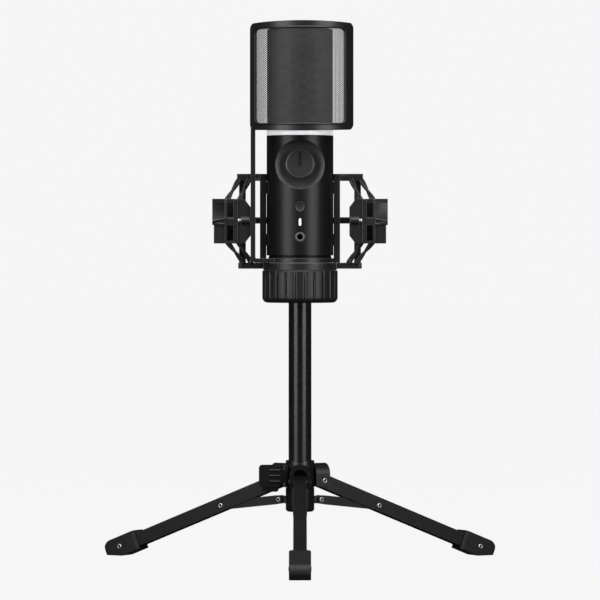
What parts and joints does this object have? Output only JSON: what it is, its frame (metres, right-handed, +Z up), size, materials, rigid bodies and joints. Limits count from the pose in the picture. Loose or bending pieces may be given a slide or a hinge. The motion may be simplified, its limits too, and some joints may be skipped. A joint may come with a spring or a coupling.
{
  "type": "desktop microphone",
  "caption": "Condenser microphone hung on elastic cords in a shock mount, with a curved pop filter, on a folding tripod whose sliding hub folds the legs",
  "frame": {"origin": "on the floor, under the middle of the whole object's box", "axes": "+Z up, front of the microphone faces -Y, +X to the right seen from the front; the tripod tube stands behind the microphone at y = 0.038 m"},
  "size_m": [0.2806, 0.2432, 0.3757],
  "materials": {
    "black_paint": "satin black powder coat",
    "hub_plastic": "fine matte black nylon",
    "mount_plastic": "fine matte black nylon",
    "filter_plastic": "satin black",
    "filter_mesh": "black coated perforated sheet",
    "body_shell": "satin black anodised",
    "knob_black": "satin black anodised, bright chamfer",
    "control_gloss": "gloss black",
    "light_diffuser": "milky white diffuser",
    "grille_steel": "black coated woven steel",
    "zinc_steel": "zinc plated",
    "boot_rubber": "matte black",
    "shoe_brass": "plain",
    "cord_elastic": "black braided elastic",
    "board_green": "solder mask",
    "chassis_plastic": "plain moulded",
    "foam_grey": "open-cell foam"
  },
  "bodies": {
    "stand": {"stand_tube": "black_paint", "lower_hub": "hub_plastic", "tube_plug": "zinc_steel", "swivel_socket": "hub_plastic", "tilt_bolt": "zinc_steel"},
    "slider": {"slider_hub": "hub_plastic", "leg_pins": "zinc_steel", "lever_pin": "zinc_steel", "lock_shoe": "shoe_brass"},
    "lock_lever_body": {"lock_lever": "hub_plastic"},
    "leg_front_body": {"leg_front": "black_paint", "foot_front": "boot_rubber", "rivets_front": "zinc_steel"},
    "leg_left_body": {"leg_left": "black_paint", "foot_left": "boot_rubber", "rivets_left": "zinc_steel"},
    "leg_right_body": {"leg_right": "black_paint", "foot_right": "boot_rubber", "rivets_right": "zinc_steel"},
    "brace_front_body": {"brace_front": "black_paint"},
    "brace_left_body": {"brace_left": "black_paint"},
    "brace_right_body": {"brace_right": "black_paint"},
    "yoke": {"yoke_stem": "mount_plastic", "yoke_band": "mount_plastic", "carrier_left": "mount_plastic", "carrier_right": "mount_plastic", "carrier_screws": "zinc_steel", "cords_upper": "cord_elastic", "cords_lower": "cord_elastic"},
    "tilt_knob_body": {"tilt_knob": "mount_plastic"},
    "cradle": {"cradle_base": "mount_plastic", "cradle_band": "mount_plastic", "cradle_side_left": "mount_plastic", "cradle_side_right": "mount_plastic", "cradle_pads": "boot_rubber", "mic_body": "body_shell", "mic_base": "body_shell", "thread_collar": "zinc_steel", "usb_port": "zinc_steel", "main_board": "board_green", "chassis": "chassis_plastic", "light_ring": "light_diffuser", "grille": "grille_steel", "grille_cap": "grille_steel", "foam_liner": "foam_grey", "capsule": "shoe_brass", "knob_dish": "body_shell", "potentiometer": "zinc_steel", "control_inlay": "control_gloss", "mute_switch": "zinc_steel", "led_window": "light_diffuser", "headphone_jack": "control_gloss", "pop_frame": "filter_plastic", "pop_mesh": "filter_mesh", "pop_arm": "filter_plastic"},
    "gain_knob_body": {"gain_shaft": "zinc_steel", "gain_knob": "knob_black"},
    "mute_button_body": {"mute_button": "control_gloss"},
    "thumb_nut_body": {"thumb_nut": "mount_plastic"}
  },
  "joints": [
    {"name": "hub_slide", "type": "slide", "parent": "stand", "child": "slider", "axis": [0, 0, 1], "range_m": [0, 0.08337]},
    {"name": "leg_front_fold", "type": "hinge", "parent": "slider", "child": "leg_front_body", "pos_m": [0, 0.022, 0.0574], "axis": [1, 0, 0], "range_deg": [0, 68.8]},
    {"name": "brace_front_fold", "type": "hinge", "parent": "leg_front_body", "child": "brace_front_body", "pos_m": [0, -0.02435, 0.03837], "axis": [-1, 0, 0], "range_deg": [0, 166.6]},
    {"name": "leg_left_fold", "type": "hinge", "parent": "slider", "child": "leg_left_body", "pos_m": [-0.01386, 0.046, 0.0574], "axis": [-0.5, -0.866, 0], "range_deg": [0, 68.8]},
    {"name": "brace_left_fold", "type": "hinge", "parent": "leg_left_body", "child": "brace_left_body", "pos_m": [-0.054, 0.06918, 0.03837], "axis": [0.5, 0.866, 0], "range_deg": [0, 166.6]},
    {"name": "leg_right_fold", "type": "hinge", "parent": "slider", "child": "leg_right_body", "pos_m": [0.01386, 0.046, 0.0574], "axis": [-0.5, 0.866, 0], "range_deg": [0, 68.8]},
    {"name": "brace_right_fold", "type": "hinge", "parent": "leg_right_body", "child": "brace_right_body", "pos_m": [0.054, 0.06918, 0.03837], "axis": [0.5, -0.866, 0], "range_deg": [0, 166.6]},
    {"name": "lock_lever_flip", "type": "hinge", "parent": "slider", "child": "lock_lever_body", "pos_m": [-0.0103, 0.0294, 0.06125], "axis": [0, 0, 1], "range_deg": [0, 80]},
    {"name": "tilt", "type": "hinge", "parent": "stand", "child": "yoke", "pos_m": [0, 0.038, 0.212], "axis": [1, 0, 0], "range_deg": [-75, 6]},
    {"name": "tilt_knob_turn", "type": "hinge", "parent": "stand", "child": "tilt_knob_body", "pos_m": [0.012, 0.038, 0.212], "axis": [1, 0, 0], "continuous": true},
    {"name": "cradle_float", "type": "slide", "parent": "yoke", "child": "cradle", "axis": [0, 0, 1], "range_m": [-0.003, 0.003], "stiffness_N_per_m": 1800, "springref_m": 0.00204, "deforming": ["cords_upper", "cords_lower"]},
    {"name": "gain_turn", "type": "hinge", "parent": "cradle", "child": "gain_knob_body", "pos_m": [0, -0.003, 0.2777], "axis": [0, 1, 0], "range_deg": [-140, 140]},
    {"name": "mute_press", "type": "slide", "parent": "cradle", "child": "mute_button_body", "axis": [0, 1, 0], "range_m": [0, 0.0008], "stiffness_N_per_m": 400, "springref_m": -0.0008},
    {"name": "nut_turn", "type": "hinge", "parent": "cradle", "child": "thumb_nut_body", "pos_m": [0, -0.003, 0.19], "axis": [0, 0, 1], "continuous": true}
  ],
  "couplings": [
    {"joint": "leg_front_fold", "follows": "hub_slide", "rad_per_m": 14.36},
    {"joint": "brace_front_fold", "follows": "hub_slide", "rad_per_m": 34.799},
    {"joint": "leg_left_fold", "follows": "hub_slide", "rad_per_m": 14.36},
    {"joint": "brace_left_fold", "follows": "hub_slide", "rad_per_m": 34.799},
    {"joint": "leg_right_fold", "follows": "hub_slide", "rad_per_m": 14.36},
    {"joint": "brace_right_fold", "follows": "hub_slide", "rad_per_m": 34.799}
  ]
}
